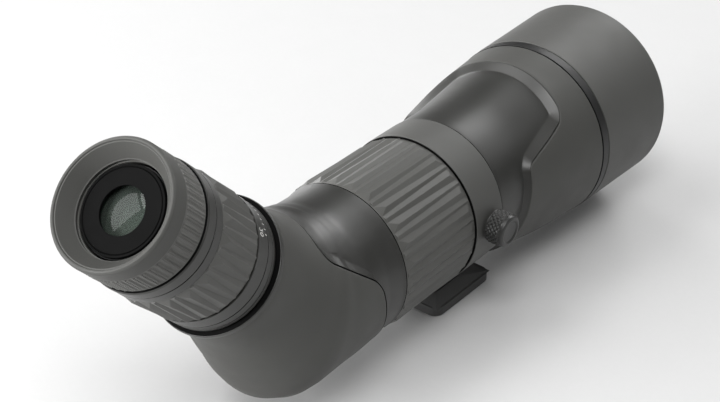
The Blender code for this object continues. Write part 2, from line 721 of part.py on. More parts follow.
def build():
    make_rear_housing()
    make_prism_unit()
    make_main_tube()
    make_focus()
    make_front_barrel()
    make_front_armour()
    make_objective()
    make_hood()
    collar = make_collar()
    make_foot(collar)
    make_lock()
    make_eyepiece_body()
    make_zoom_ring()
    make_zoom_cell("a", CELL_A_PIN, 1, 7.0, (0.9, -1.2, 2.4))
    make_zoom_cell("b", CELL_B_PIN, -1, 7.0, (0.0, 1.6, 3.6))
    make_eye_lenses()
    make_eyecup()


build()
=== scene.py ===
# Looks of the angled spotting scope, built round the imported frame.
#
# Stations, radii and heights are in millimetres, and MM turns them into metres.  The barrel's
# stations are Y positions.  The eyepiece's stations count from the elbow, where its axis crosses
# the barrel's.  Angles round either axis count from up towards +X.
import json
import math
from collections import namedtuple

import bmesh
import bpy
from mathutils import Matrix, Vector


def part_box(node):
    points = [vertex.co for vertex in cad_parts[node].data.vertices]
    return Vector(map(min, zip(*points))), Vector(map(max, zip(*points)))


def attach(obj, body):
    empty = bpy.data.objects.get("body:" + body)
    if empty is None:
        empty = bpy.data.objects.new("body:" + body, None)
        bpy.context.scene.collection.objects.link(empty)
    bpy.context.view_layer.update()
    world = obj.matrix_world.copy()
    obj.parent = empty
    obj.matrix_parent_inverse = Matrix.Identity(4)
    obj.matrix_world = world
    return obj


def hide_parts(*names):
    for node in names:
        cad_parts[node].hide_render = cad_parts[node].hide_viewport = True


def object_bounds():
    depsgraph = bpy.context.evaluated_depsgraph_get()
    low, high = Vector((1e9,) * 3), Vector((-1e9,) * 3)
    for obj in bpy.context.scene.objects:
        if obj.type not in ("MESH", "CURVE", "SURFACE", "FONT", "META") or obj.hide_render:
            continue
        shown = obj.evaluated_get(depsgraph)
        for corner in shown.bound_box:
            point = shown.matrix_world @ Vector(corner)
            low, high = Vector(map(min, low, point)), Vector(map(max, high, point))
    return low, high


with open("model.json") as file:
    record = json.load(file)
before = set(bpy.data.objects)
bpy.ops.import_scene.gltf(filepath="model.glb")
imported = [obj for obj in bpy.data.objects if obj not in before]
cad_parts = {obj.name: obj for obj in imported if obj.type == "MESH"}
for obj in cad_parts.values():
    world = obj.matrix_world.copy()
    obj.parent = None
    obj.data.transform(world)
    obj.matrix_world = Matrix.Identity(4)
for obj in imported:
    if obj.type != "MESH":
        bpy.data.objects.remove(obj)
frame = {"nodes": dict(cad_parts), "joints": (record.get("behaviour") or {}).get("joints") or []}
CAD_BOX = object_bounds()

MM = 0.001
NODES = frame["nodes"]
JOINTS = {joint["name"]: joint for joint in frame["joints"]}
SEAM = 0.5                  # gap at a seam between rubber and metal


# Axes

class Axis:
    """A turning axis with stations along it."""

    def __init__(self, origin, along, up=(0, 0, 1), across=(1, 0, 0)):
        self.origin = Vector(origin)
        self.along = Vector(along).normalized()
        up = Vector(up)
        self.up = (up - self.along * up.dot(self.along)).normalized()
        self.across = Vector(across)

    def point(self, station, radius, angle):
        spoke = self.across * math.sin(angle) + self.up * math.cos(angle)
        return self.origin + (self.along * station + spoke * radius) * MM

    def ring(self, station, radius, columns):
        """Evenly spaced points on a circle."""
        return [self.point(station, radius, math.tau * i / columns) for i in range(columns)]

    def measure(self, point):
        """Station and radius of a point."""
        offset = (point - self.origin) / MM
        station = offset.dot(self.along)
        return station, (offset - self.along * station).length

    def span(self, node):
        """Rear and front stations, inner and outer radii of a CAD node."""
        stations, radii = zip(*[self.measure(vert.co) for vert in NODES[node].data.vertices])
        return min(stations), max(stations), min(radii), max(radii)


def make_axes():
    """The barrel's axis starts at Y = 0 and the eyepiece's at the elbow."""
    turn = JOINTS["scope_rotation"]
    height = turn["pos_m"][2]
    main = Axis((0, 0, height), turn["axis"])
    zoom = JOINTS["zoom_turn"]
    along = Vector(zoom["axis"]).normalized()
    spot = Vector(zoom["pos_m"])
    elbow = spot - along * (spot.z - height) / along.z
    return main, Axis(elbow, along)


MAIN, EYE = make_axes()


# Finishes

# slot: colour, its variation, grain size and depth in mm, roughness range, metallic, specular.
# The last two belong to no slot of the record.
FINISHES = {
    "painted_metal": ((0.027, 0.027, 0.025), 0.05, 0.22, 0.006, (0.35, 0.43), 0.0, 0.50),
    "hood_paint": ((0.074, 0.074, 0.070), 0.06, 0.28, 0.010, (0.50, 0.60), 0.0, 0.45),
    "rubber_armour": ((0.055, 0.055, 0.051), 0.06, 0.30, 0.012, (0.52, 0.64), 0.0, 0.45),
    "rubber_grip": ((0.080, 0.080, 0.075), 0.04, 0.25, 0.005, (0.46, 0.56), 0.0, 0.45),
    "eyecup_shell": ((0.105, 0.105, 0.099), 0.05, 0.25, 0.005, (0.44, 0.54), 0.0, 0.45),
    "eyecup_rubber": ((0.060, 0.060, 0.056), 0.06, 0.30, 0.010, (0.55, 0.66), 0.0, 0.45),
    "trim_black": ((0.008, 0.008, 0.008), 0.10, 0.20, 0.004, (0.40, 0.50), 0.0, 0.40),
    "inner_black": ((0.0025, 0.0025, 0.0025), 0.12, 0.20, 0.008, (0.62, 0.76), 0.0, 0.07),
    "anodised": ((0.020, 0.020, 0.020), 0.10, 0.15, 0.003, (0.38, 0.48), 0.6, 0.50),
    "foot_black": ((0.042, 0.042, 0.041), 0.10, 0.35, 0.016, (0.48, 0.60), 0.0, 0.50),
    "knob": ((0.021, 0.021, 0.020), 0.05, 0.20, 0.004, (0.36, 0.46), 0.0, 0.50),
    "steel": ((0.52, 0.52, 0.51), 0.05, 0.12, 0.002, (0.26, 0.36), 1.0, 0.50),
    "brass": ((0.62, 0.46, 0.20), 0.05, 0.12, 0.002, (0.28, 0.38), 1.0, 0.50),
    "nylon_liner": ((0.012, 0.012, 0.012), 0.10, 0.30, 0.004, (0.44, 0.54), 0.0, 0.35),
    "seal": ((0.018, 0.018, 0.018), 0.10, 0.25, 0.008, (0.60, 0.72), 0.0, 0.35),
    "scale_paint": ((0.75, 0.75, 0.73), 0.03, 0.20, 0.002, (0.40, 0.50), 0.0, 0.50),
    "floor": ((0.62, 0.62, 0.62), 0.01, 2.00, 0.010, (0.70, 0.80), 0.0, 0.20),
}
PATCH = 14.0                # size in mm of the slow variation of colour and gloss
NOISE_LOW, NOISE_HIGH = 0.3, 0.7        # most of a noise texture's values lie between these


def noise(tree, coordinates, size, detail):
    """A noise texture whose features are about size millimetres across."""
    node = tree.nodes.new("ShaderNodeTexNoise")
    node.inputs["Scale"].default_value = 1 / (size * MM)
    node.inputs["Detail"].default_value = detail
    tree.links.new(coordinates, node.inputs["Vector"])
    return node.outputs["Fac"]


def ranged(tree, value, low, high):
    """Map the middle of a noise to the range from low to high."""
    node = tree.nodes.new("ShaderNodeMapRange")
    node.inputs["From Min"].default_value = NOISE_LOW
    node.inputs["From Max"].default_value = NOISE_HIGH
    node.inputs["To Min"].default_value = low
    node.inputs["To Max"].default_value = high
    tree.links.new(value, node.inputs["Value"])
    return node.outputs["Result"]


def blend(tree, first, second, share):
    """A colour between two others."""
    node = tree.nodes.new("ShaderNodeMix")
    node.data_type = "RGBA"
    node.inputs["A"].default_value = (*first, 1)
    node.inputs["B"].default_value = (*second, 1)
    tree.links.new(share, node.inputs["Factor"])
    return node.outputs["Result"]


def new_material(slot):
    """A material with its node tree, its shader and the place on the object."""
    material = bpy.data.materials.new(slot + "_finish")
    material.use_nodes = True
    tree = material.node_tree
    place = tree.nodes.new("ShaderNodeTexCoord").outputs["Object"]
    return material, tree, tree.nodes["Principled BSDF"], place


def make_finish(slot, colour, variation, grain, depth, roughness, metallic, specular):
    """A slow variation of colour and gloss, and a fine grain in the colour and the surface."""
    material, tree, shader, place = new_material(slot)
    shader.inputs["Metallic"].default_value = metallic
    shader.inputs["Specular IOR Level"].default_value = specular
    patches = noise(tree, place, PATCH, 3.0)
    fine = noise(tree, place, grain, 2.0)
    both = tree.nodes.new("ShaderNodeMath")
    both.operation = "MULTIPLY_ADD"
    both.inputs[1].default_value = 0.5
    tree.links.new(ranged(tree, patches, 0.0, 1.0), both.inputs[0])
    tree.links.new(ranged(tree, fine, 0.0, 0.5), both.inputs[2])
    darker = [c * (1 - variation) for c in colour]
    lighter = [c * (1 + variation) for c in colour]
    shade = blend(tree, darker, lighter, both.outputs["Value"])
    tree.links.new(shade, shader.inputs["Base Color"])
    tree.links.new(ranged(tree, patches, *roughness), shader.inputs["Roughness"])

    bump = tree.nodes.new("ShaderNodeBump")
    bump.inputs["Distance"].default_value = depth * MM
    tree.links.new(fine, bump.inputs["Height"])
    tree.links.new(bump.outputs["Normal"], shader.inputs["Normal"])
    return material


COATED_IOR = 1.32           # lower than glass, because the coating takes most of the reflection
GLASS_GREENS = ((0.26, 0.32, 0.28), (0.29, 0.35, 0.30))


def make_glass():
    """Coated glass: a faint green body with a slightly uneven coating."""
    material, tree, shader, place = new_material("optical_glass")
    shader.inputs["IOR"].default_value = COATED_IOR
    shader.inputs["Transmission Weight"].default_value = 0.9
    shader.inputs["Specular IOR Level"].default_value = 0.1
    patches = noise(tree, place, PATCH, 2.0)
    shade = blend(tree, *GLASS_GREENS, ranged(tree, patches, 0.0, 1.0))
    tree.links.new(shade, shader.inputs["Base Color"])
    tree.links.new(ranged(tree, patches, 0.0, 0.01), shader.inputs["Roughness"])
    return material


LOOKS = {slot: make_finish(slot, *values) for slot, values in FINISHES.items()}
LOOKS["optical_glass"] = make_glass()


def dress_frame():
    """Every CAD node that stays takes the finish of its own slot."""
    for obj in NODES.values():
        for entry in obj.material_slots:
            entry.material = LOOKS[entry.material.name]


# Meshes

def eased(corners, count=5):
    """Round the corners of an outline: each is (x, y), or (x, y, radius) to be rounded."""
    points = []
    total = len(corners)
    for i, (x, y, *size) in enumerate(corners):
        if not size:
            points.append((x, y))
            continue
        here = Vector((x, y))
        before = (Vector(corners[i - 1][:2]) - here).normalized()
        after = (Vector(corners[(i + 1) % total][:2]) - here).normalized()
        half = before.angle(after) / 2
        reach = size[0] / math.tan(half)
        centre = here + (before + after).normalized() * size[0] / math.sin(half)
        start = here + before * reach - centre
        turn = math.pi - 2 * half
        if before.cross(after) > 0:
            turn = -turn
        for k in range(count + 1):
            points.append(tuple(centre + Matrix.Rotation(turn * k / count, 2) @ start))
    return points


def new_object(name, data):
    obj = bpy.data.objects.new(name, data)
    bpy.context.scene.collection.objects.link(obj)
    return obj


def stand_in(node, mesh, slot, body):
    """Put a finished mesh on its body in the place of a CAD node."""
    obj = new_object(node + "_fine", mesh)
    mesh.materials.append(LOOKS[slot])
    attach(obj, body)
    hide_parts(node)
    return obj


def shade(mesh, sharp):
    mesh.shade_smooth()
    mesh.set_sharp_from_angle(angle=math.radians(sharp))


def weigh_normals(obj):
    """Keep broad faces flat where fillets meet them."""
    modifier = obj.modifiers.new("normals", "WEIGHTED_NORMAL")
    modifier.keep_sharp = True


def soften(obj, width, degrees):
    """Round the edges that are sharper than an angle."""
    modifier = obj.modifiers.new("edges", "BEVEL")
    modifier.width = width * MM
    modifier.segments = 2
    modifier.limit_method = "ANGLE"
    modifier.angle_limit = math.radians(degrees)


def mesh_of(name, shape):
    """Turn a bmesh into a mesh whose faces look outwards."""
    bmesh.ops.recalc_face_normals(shape, faces=shape.faces)
    mesh = bpy.data.meshes.new(name)
    shape.to_mesh(mesh)
    shape.free()
    return mesh


def evaluated_mesh(obj):
    """A new mesh of what an object looks like after its modifiers."""
    bpy.context.view_layer.update()
    graph = bpy.context.evaluated_depsgraph_get()
    return bpy.data.meshes.new_from_object(obj.evaluated_get(graph))


def rings_shape(rows, closed=False):
    """A bmesh through rings of points, and its vertices; closed joins the last to the first."""
    shape = bmesh.new()
    grid = [[shape.verts.new(point) for point in row] for row in rows]
    pairs = list(zip(grid, grid[1:]))
    if closed:
        pairs.append((grid[-1], grid[0]))
    for first, second in pairs:
        for i in range(len(first)):
            j = (i + 1) % len(first)
            shape.faces.new((first[i], first[j], second[j], second[i]))
    return shape, grid


def mesh_from_rows(name, rows, closed, sharp=40):
    """A smooth mesh through rings of points; edges over the angle in degrees stay sharp."""
    shape, _ = rings_shape(rows, closed)
    bmesh.ops.remove_doubles(shape, verts=shape.verts, dist=1e-7)
    mesh = mesh_of(name, shape)
    shade(mesh, sharp)
    return mesh


def capped_mesh(name, rows):
    """A solid through rings of points, with one face over either end."""
    shape, grid = rings_shape(rows)
    shape.faces.new(grid[0])
    shape.faces.new(grid[-1])
    return mesh_of(name, shape)


ROUND = 144                 # columns of a turned piece
LARGE_ROUND = 192
PLAIN_ROUND = 96            # of the lenses and the floor
BORE_ROUND = 32


def turned(node, axis, profile, slot, body, columns=ROUND, closed=True):
    """Turn a profile of (station, radius) or (station, radius, fillet) corners."""
    rows = [axis.ring(station, radius, columns) for station, radius in eased(profile)]
    obj = stand_in(node, mesh_from_rows(node + "_fine", rows, closed), slot, body)
    weigh_normals(obj)
    return obj


def blacken_inside(obj):
    """Blacken the faces that look at the barrel's axis."""
    obj.data.materials.append(LOOKS["inner_black"])
    for face in obj.data.polygons:
        offset = face.center - MAIN.origin
        spoke = offset - MAIN.along * offset.dot(MAIN.along)
        if spoke.length > 1e-9 and face.normal.dot(spoke.normalized()) < -0.3:
            face.material_index = 1


def darken_ends(obj, axis, node):
    """Paint shade on the flat ends of a ring: they take the black finish so that the gaps beside
    them look dark.
    """
    rear, front, _, _ = axis.span(node)
    # Painted shade: the ends are the ring's own metal or rubber, coloured black to darken the
    # seams.
    obj.data.materials.append(LOOKS["inner_black"])
    for face in obj.data.polygons:
        station, _ = axis.measure(face.center)
        if abs(face.normal.dot(axis.along)) > 0.9 and min(station - rear, front - station) < 0.2:
            face.material_index = 1


def plain_ring(node, axis, slot, body, rear_round, front_round):
    """A ring with rounded outer edges, and painted shade in black on its flat ends."""
    rear, front, inner, outer = axis.span(node)
    profile = [(rear, inner), (rear, outer, rear_round), (front, outer, front_round),
               (front, inner)]
    ring = turned(node, axis, profile, slot, body)
    # Painted shade on the ring's ends, to darken the seams beside it.
    darken_ends(ring, axis, node)
    return ring


def smooth_table(table, x):
    """Read a table of (x, value) rows along a smooth curve through its points."""
    last = len(table) - 1
    i = max(k for k in range(last) if k == 0 or table[k][0] <= x)
    (x0, v0), (x1, v1) = table[i], table[i + 1]
    before = table[max(i - 1, 0)]
    after = table[min(i + 2, last)]
    slope0 = (v1 - before[1]) / (x1 - before[0])
    slope1 = (after[1] - v0) / (after[0] - x0)
    width = x1 - x0
    t = (x - x0) / width
    if not 0 <= t <= 1:
        return (v0 if t < 0 else v1) + (slope0 * (x - x0) if t < 0 else slope1 * (x - x1))
    rise = t * t * (3 - 2 * t)
    return v0 + (v1 - v0) * rise + width * (slope0 * t * (1 - t) ** 2 - slope1 * t * t * (1 - t))


# The rubber's window edges are drawn in the side view, as (Y, height above the axis).  A field
# says how far a point lies from the seam: below zero is bare metal, and above it is rubber.

def beside(point, start, end):
    """Signed distance from a line; positive on its right-hand side."""
    along = (Vector(end) - Vector(start)).normalized()
    offset = Vector(point) - Vector(start)
    return offset.x * along.y - offset.y * along.x


def round_most(a, b, radius):
    """The larger of two distances, with their crease rounded to a radius."""
    if min(a, b) < -radius:
        return max(a, b)
    return math.hypot(max(a + radius, 0), max(b + radius, 0)) - radius


def round_least(a, b, radius):
    return -round_most(-a, -b, radius)


class Window:
    """A bare patch bounded by three straight edges: top, slope and side.

    The corners run from the top down, and the radii round the two inner ones.
    """

    def __init__(self, corners, radii, bare_behind):
        self.corners = corners
        self.radii = radii
        self.sign = -1 if bare_behind else 1

    def field(self, spot):
        top, slope, side = [self.sign * beside(spot, a, b)
                            for a, b in zip(self.corners, self.corners[1:])]
        lower = round_least(slope, side, self.radii[1])
        return round_most(top, lower, self.radii[0])


class Seam:
    """A window's edge on a surface, in even steps from the top of the body to its underside.

    A spot is a station and a distance round the body; the ways run across the seam.
    """

    GIRTH = 34.0            # radius that turns angles into distances round the body
    REACH = 9.0             # how far from the seam a level is looked for
    SEARCH_STEPS = 900      # steps in which the seam is first followed
    COLUMNS = 220           # spots along the seam, down one side of the body
    NUDGE = 0.01            # distance over which the field's slope is taken

    def __init__(self, surface, window, strips):
        self.surface = surface
        self.window = window
        fine = []
        for i in range(self.SEARCH_STEPS + 1):
            angle = math.pi * i / self.SEARCH_STEPS
            fine.append(Vector((self.crossing(angle), angle * self.GIRTH)))
        self.spots = even_steps(fine, self.COLUMNS)
        self.ways = [self.way(spot) for spot in self.spots]
        angles = [math.degrees(spot.y / self.GIRTH) for spot in self.spots]
        self.strips = [smooth_table(strips, angle) for angle in angles]

    def level(self, spot):
        return self.window.field(self.surface.side_view(spot.x, spot.y / self.GIRTH))

    def crossing(self, angle):
        return bisect(lambda s: self.level(Vector((s, angle * self.GIRTH))),
                      *self.surface.SEAM_RANGE)

    def way(self, spot):
        """Unit step across the seam, from metal to rubber."""
        dx, dy = Vector((self.NUDGE, 0)), Vector((0, self.NUDGE))
        slope = Vector((self.level(spot + dx) - self.level(spot - dx),
                        self.level(spot + dy) - self.level(spot - dy)))
        return slope.normalized()

    def mirrored(self, half):
        return [*half, *[(s, r, -angle) for s, r, angle in reversed(half[1:-1])]]

    def row(self, share, past, radius_at):
        """A ring at a share of the strip's width before the seam, plus a distance past that.

        radius_at takes a station, an angle and the share.
        """
        half = []
        for spot, way, strip in zip(self.spots, self.ways, self.strips):
            level = past - strip * share
            move = bisect(lambda t: self.level(spot + way * t) - level, -self.REACH, self.REACH)
            place = spot + way * move
            angle = place.y / self.GIRTH
            half.append((place.x, radius_at(place.x, angle, share), angle))
        return self.mirrored(half)

    def plain(self, station, radius):
        """A plain ring with the seam's columns."""
        return self.mirrored([(station, radius, spot.y / self.GIRTH) for spot in self.spots])


HALVINGS = 30


def bisect(rising, low, high):
    """Where a rising function crosses zero."""
    for _ in range(HALVINGS):
        middle = (low + high) / 2
        if rising(middle) < 0:
            low = middle
        else:
            high = middle
    return (low + high) / 2


def even_steps(points, count):
    """Points at even steps along a polyline, its ends included."""
    lengths = [0.0]
    for a, b in zip(points, points[1:]):
        lengths.append(lengths[-1] + (b - a).length)
    made = []
    k = 0
    for i in range(count):
        goal = lengths[-1] * i / (count - 1)
        while k < len(points) - 2 and lengths[k + 1] < goal:
            k += 1
        share = (goal - lengths[k]) / (lengths[k + 1] - lengths[k])
        made.append(points[k].lerp(points[k + 1], share))
    return made


class Barrel:
    """The front bell.  Stations run forward."""

    RUBBER = ((2.6, 32.6), (8.8, 33.25), (13.2, 33.9), (17.5, 34.8), (30.4, 36.6), (39.1, 37.9),
              (48.8, 39.0), (58.5, 39.7), (69.0, 40.5))
    NECK = ((2.6, 32.6), (10, 32.6), (18, 32.65), (26, 33.1), (34, 34.0), (42, 35.1),
            (49.5, 36.2))
    SEAM_RANGE = (2.6, 68.0)    # stations between which the seam lies

    def rubber(self, station, _angle=0.0):
        return smooth_table(self.RUBBER, station)

    def neck(self, station, _angle):
        return smooth_table(self.NECK, station)

    def point(self, station, radius, angle):
        return MAIN.point(station, radius, angle)

    def side_view(self, station, angle):
        return station, self.rubber(station) * math.cos(angle)


class Elbow:
    """The prism housing.  Its stations run back from the front face, round the bend."""

    FACE = -62.5            # Y of the housing's front face
    BEND = 20.0             # from the elbow to either end of the bend
    RUBBER = ((0, 32.0), (9, 32.5), (17, 32.8), (24, 33.3), (31, 33.4), (38, 32.4), (43, 32.4),
              (48, 31.8), (53, 31.3), (60, 29.2), (67, 27.4), (74, 26.4), (86, 25.8))
    HEEL = (8.2, 41.0, 8.3)     # the heel's bulge: height, station and spread
    DROPS = (0.5, 1.9)          # how far the metal lies below the rubber, on top and at the sides
    # how much higher the top stands
    CROWN = ((0, 0.0), (18, 0.0), (27, 0.0), (32, 0.2), (37, 0.7), (42, 0.75), (47, 0.35),
             (52, 0.05), (57, 0.4), (62, 0.2), (68, 0.0), (90, 0.0))
    END = 47.8              # the housing's end, from the elbow
    SEAM_RANGE = (0.5, 80.0)

    def __init__(self):
        self.tilt = math.atan2(EYE.along.z, -EYE.along.y)
        self.elbow = EYE.origin.y / MM
        self.straight = self.FACE - self.elbow - self.BEND
        self.radius = self.BEND / math.tan(self.tilt / 2)
        self.length = self.straight + self.radius * self.tilt + self.END - self.BEND

    def spine(self, distance):
        """Y, height above the barrel's axis, and tilt."""
        if distance <= self.straight:
            return self.FACE - distance, 0.0, 0.0
        turn = (distance - self.straight) / self.radius
        if turn <= self.tilt:
            y = self.elbow + self.BEND - self.radius * math.sin(turn)
            return y, self.radius * (1 - math.cos(turn)), turn
        along = self.BEND + distance - self.straight - self.radius * self.tilt
        return self.elbow - along * math.cos(self.tilt), along * math.sin(self.tilt), self.tilt

    def rubber(self, distance, _angle=0.0):
        return smooth_table(self.RUBBER, distance)

    def neck(self, distance, angle):
        """Bare metal lies nearly flush with the rubber on top and deeper down the sides."""
        side = min(max((abs(angle) - 0.3) / 0.9, 0.0), 1.0)
        top_drop, side_drop = self.DROPS
        drop = top_drop + (side_drop - top_drop) * side * side * (3 - 2 * side)
        return self.rubber(distance) - drop * min(1.0, distance / 9) ** 0.7

    def spot(self, distance, radius, angle):
        """X, Y and height above the axis."""
        y, height, tilt = self.spine(distance)
        bulge, place, width = self.HEEL
        heel = bulge * math.exp(-((distance - place) / width) ** 2)
        top = (1 + math.cos(angle)) / 2
        reach = radius + heel * (1 - top) ** 2.5 + smooth_table(self.CROWN, distance) * top
        up = reach * math.cos(angle)
        return reach * math.sin(angle), y + up * math.sin(tilt), height + up * math.cos(tilt)

    def point(self, distance, radius, angle):
        x, y, height = self.spot(distance, radius, angle)
        return Vector((x * MM, y * MM, MAIN.origin.z + height * MM))

    def side_view(self, distance, angle):
        return self.spot(distance, self.rubber(distance), angle)[1:]


def between_rows(first, second, count, radius_at):
    """Rows spread evenly between two others, on the surface that radius_at gives."""
    rows = []
    for k in range(1, count):
        row = []
        for (s0, _, a0), (s1, _, a1) in zip(first, second):
            station, angle = s0 + (s1 - s0) * k / count, a0 + (a1 - a0) * k / count
            row.append((station, radius_at(station, angle), angle))
        rows.append(row)
    return rows


UNDER = 1.6                 # how deep the metal dives under the rubber's edge
SHY = 0.15                  # the strip's top below the rubber
# the metal's edge, as a share of the strip's width before the seam and a distance past that
STRIP = ((1, -0.5), (1, -0.1), (0.92, 0.0), (0.66, 0.0), (0.33, 0.0), (0.07, 0.0), (0, 0.0))
# the rubber's edge, as a distance past the seam and a depth below its skin
LIP = ((0.0, 1.3), (0.0, 0.4), (0.1, 0.15), (0.3, 0.03), (0.7, 0.0))
BARE_ROWS, UNDER_ROWS, SKIN_ROWS, INSIDE_ROWS = 14, 12, 22, 16


def bare_shell(seam, rim_rows, hidden_rows):
    """Rows of a bare body: its rim, the neck, the strip up to the seam, and the hidden part."""
    surface = seam.surface

    def metal(station, angle, share):
        low, high = surface.neck(station, angle), surface.rubber(station) - SHY
        return high + (low - high) * min(share, 1.0)

    def hidden(station, *_):
        return surface.rubber(station) - UNDER

    edge = [seam.row(share, past, metal) for share, past in STRIP]
    edge += [seam.row(0.0, past, hidden) for past in (0.12, 0.5)]
    field = between_rows(rim_rows[-1], edge[0], BARE_ROWS, surface.neck)
    under = between_rows(edge[-1], hidden_rows[0], UNDER_ROWS, hidden)
    return [*rim_rows, *field, *edge, *under, *hidden_rows]


def rubber_shell(seam, end_rows, inner_end):
    """Rows of a rubber cover: its lip along the seam, the outside, the end and the inside."""
    surface = seam.surface
    edge = []
    for past, drop in LIP:
        edge.append(seam.row(0.0, SEAM + past, lambda s, *_: surface.rubber(s) - drop))
    field = between_rows(edge[-1], end_rows[0], SKIN_ROWS, surface.rubber)
    depth = surface.rubber(inner_end[0][0]) - inner_end[0][1]

    def inside(station, _angle):
        return surface.rubber(station) - depth

    back = between_rows(inner_end, edge[0], INSIDE_ROWS, inside)
    return [*edge, *field, *end_rows, inner_end, *back]


# Each strip is a bevel along the window's edge, as (degrees from the top, width) rows.
FRONT_WINDOW = Window([(63.8, 80.0), (50.0, 26.6), (21.9, 16.3), (10.8, -50.0)], (3.5, 2.5),
                      bare_behind=True)
FRONT_STRIP = ((0, 3.2), (40, 3.2), (60, 3.1), (72, 1.6), (180, 1.4))
REAR_WINDOW = Window([(-75.0, 80.0), (-102.9, 30.6), (-77.8, 10.5), (-67.0, -50.0)], (6.0, 3.5),
                     bare_behind=False)
REAR_STRIP = ((0, 0.8), (30, 1.0), (48, 2.9), (62, 2.8), (76, 1.5), (180, 1.3))


def make_shell(node, surface, rows, slot):
    """A shell through rings of spots on a surface."""
    rows = [[surface.point(*spot) for spot in row] for row in rows]
    shell = stand_in(node, mesh_from_rows(node + "_fine", rows, True), slot, "scope_body")
    weigh_normals(shell)
    return shell


def make_front():
    """The front barrel with its flared bare neck, and the rubber over it."""
    barrel = Barrel()
    seam = Seam(barrel, FRONT_WINDOW, FRONT_STRIP)
    rear, front, bore, outer = MAIN.span("front_barrel")
    rubber_end, ledge, step = 69.0, 87.0, 14.4
    mouth, cone, throat, bush = 35.3, 33.4, 26.0, bore + 2.3
    rim = [seam.plain(rear, 32.3), seam.plain(rear + 0.1, 32.5), seam.plain(rear + 0.4, 32.6)]
    hidden = [(rubber_end - 1, outer), (front - 0.6, outer), (front, outer - 0.6),
              (front, mouth + 0.4), (front - 0.4, mouth), (ledge, mouth), (ledge, cone),
              (step, throat), (step, bush), (rear, bush)]
    rows = bare_shell(seam, rim, [seam.plain(s, r) for s, r in hidden])
    shell = make_shell("front_barrel", barrel, rows, "painted_metal")
    blacken_inside(shell)

    skin = barrel.rubber(rubber_end)
    ends = [seam.plain(rubber_end - 0.6, skin), seam.plain(rubber_end - 0.15, skin - 0.15),
            seam.plain(rubber_end, skin - 0.6)]
    rows = rubber_shell(seam, ends, seam.plain(rubber_end, skin - 1.3))
    make_shell("front_armour", barrel, rows, "rubber_armour")


def make_rear():
    """The prism housing with its bare saddle, and the rubber over it."""
    elbow = Elbow()
    seam = Seam(elbow, REAR_WINDOW, REAR_STRIP)
    _, _, bore, _ = MAIN.span("rear_housing")
    length, face = elbow.length, elbow.rubber(0)
    wall, front_wall, well = 2.4, 11, 29.0
    metal_end = elbow.rubber(length) - UNDER
    rim = [seam.plain(0.0, face - 0.35), seam.plain(0.1, face - 0.1), seam.plain(0.35, face)]
    hidden = [(length, metal_end), (length, metal_end - wall)]
    hidden += [(d, elbow.rubber(d) - UNDER - wall) for d in (70, 60, 53, 46, 40, 34, 22)]
    hidden += [(front_wall, well), (front_wall, bore), (0, bore)]
    rows = bare_shell(seam, rim, [seam.plain(s, r) for s, r in hidden])
    make_shell("rear_housing", elbow, rows, "painted_metal")

    skin = elbow.rubber(length)
    ends = [seam.plain(length - 0.7, elbow.rubber(length - 0.7)),
            seam.plain(length - 0.2, skin - 0.15), seam.plain(length, skin - 0.6)]
    rows = rubber_shell(seam, ends, seam.plain(length, skin - 1.3))
    make_shell("rear_armour", elbow, rows, "rubber_armour")


# Plain turned pieces of the barrel

HOOD_KNEE = 96.0            # where the hood's slight flare ends


def make_barrel_rings():
    plain_ring("trim_band", MAIN, "trim_black", "scope_body", 0.25, 0.25)
    make_hood()
    return plain_ring("collar_ring", MAIN, "hood_paint", "mount", 0.35, 0.35)


def make_hood():
    rear, front, inner, outer = MAIN.span("sunshade")
    profile = [(rear, inner), (rear, outer - 1.1, 0.3), (HOOD_KNEE, outer - 0.6),
               (front - 1.7, outer, 1.2), (front, outer - 0.7, 0.6), (front, outer - 2.0, 0.5),
               (front - 1.5, inner, 0.6)]
    blacken_inside(turned("sunshade", MAIN, profile, "hood_paint", "sunshade", LARGE_ROUND))


CELL_BORE = 32.2
GROOVES = 5                 # black grooves in the cell's bore
GROOVE_PITCH = 0.8
GROOVE_DEPTH = 0.4


def make_objective():
    """The cell with its grooved bore, the ring that holds the lenses in it, and the lenses."""
    rear, front, inner, outer = MAIN.span("objective_retainer")
    profile = [(rear, inner), (rear, outer), (front, outer, 0.2), (front, outer - 0.6, 0.1),
               (front - 0.4, outer - 0.9), (front, outer - 1.2), (front, inner, 0.3)]
    turned("objective_retainer", MAIN, profile, "inner_black", "scope_body")
    rear, front, lip, outer = MAIN.span("objective_cell")
    profile = [(rear, lip), (rear, outer), (front, outer, 0.3), (front, CELL_BORE + 0.8, 0.2)]
    for k in range(GROOVES):
        groove = front - GROOVE_PITCH * (k + 1)
        profile += [(groove + 0.25, CELL_BORE), (groove, CELL_BORE + GROOVE_DEPTH),
                    (groove - 0.25, CELL_BORE)]
    profile += [(rear + 2, CELL_BORE), (rear + 2, lip)]
    turned("objective_cell", MAIN, profile, "inner_black", "scope_body")
    make_lens("objective_front_lens", MAIN, -1.4, 3.4)
    make_lens("objective_rear_lens", MAIN, 1.0, -1.6)


def cap_points(station, radius, sag, count=12):
    """Points of a shallow spherical face from its centre to its rim; sag > 0 bulges forward."""
    sphere = (radius ** 2 + sag ** 2) / (2 * abs(sag))
    points = []
    for i in range(count + 1):
        r = radius * i / count
        drop = sphere - math.sqrt(sphere ** 2 - r ** 2)
        points.append((station - math.copysign(drop, sag), r))
    return points


def make_lens(node, axis, rear_sag, front_sag):
    rear, front, _, radius = axis.span(node)
    profile = cap_points(rear + max(rear_sag, 0.0), radius, rear_sag)
    profile += reversed(cap_points(front + min(front_sag, 0.0), radius, front_sag))
    turned(node, axis, profile, "optical_glass", "scope_body", PLAIN_ROUND, False)


# Faceted rubber grips

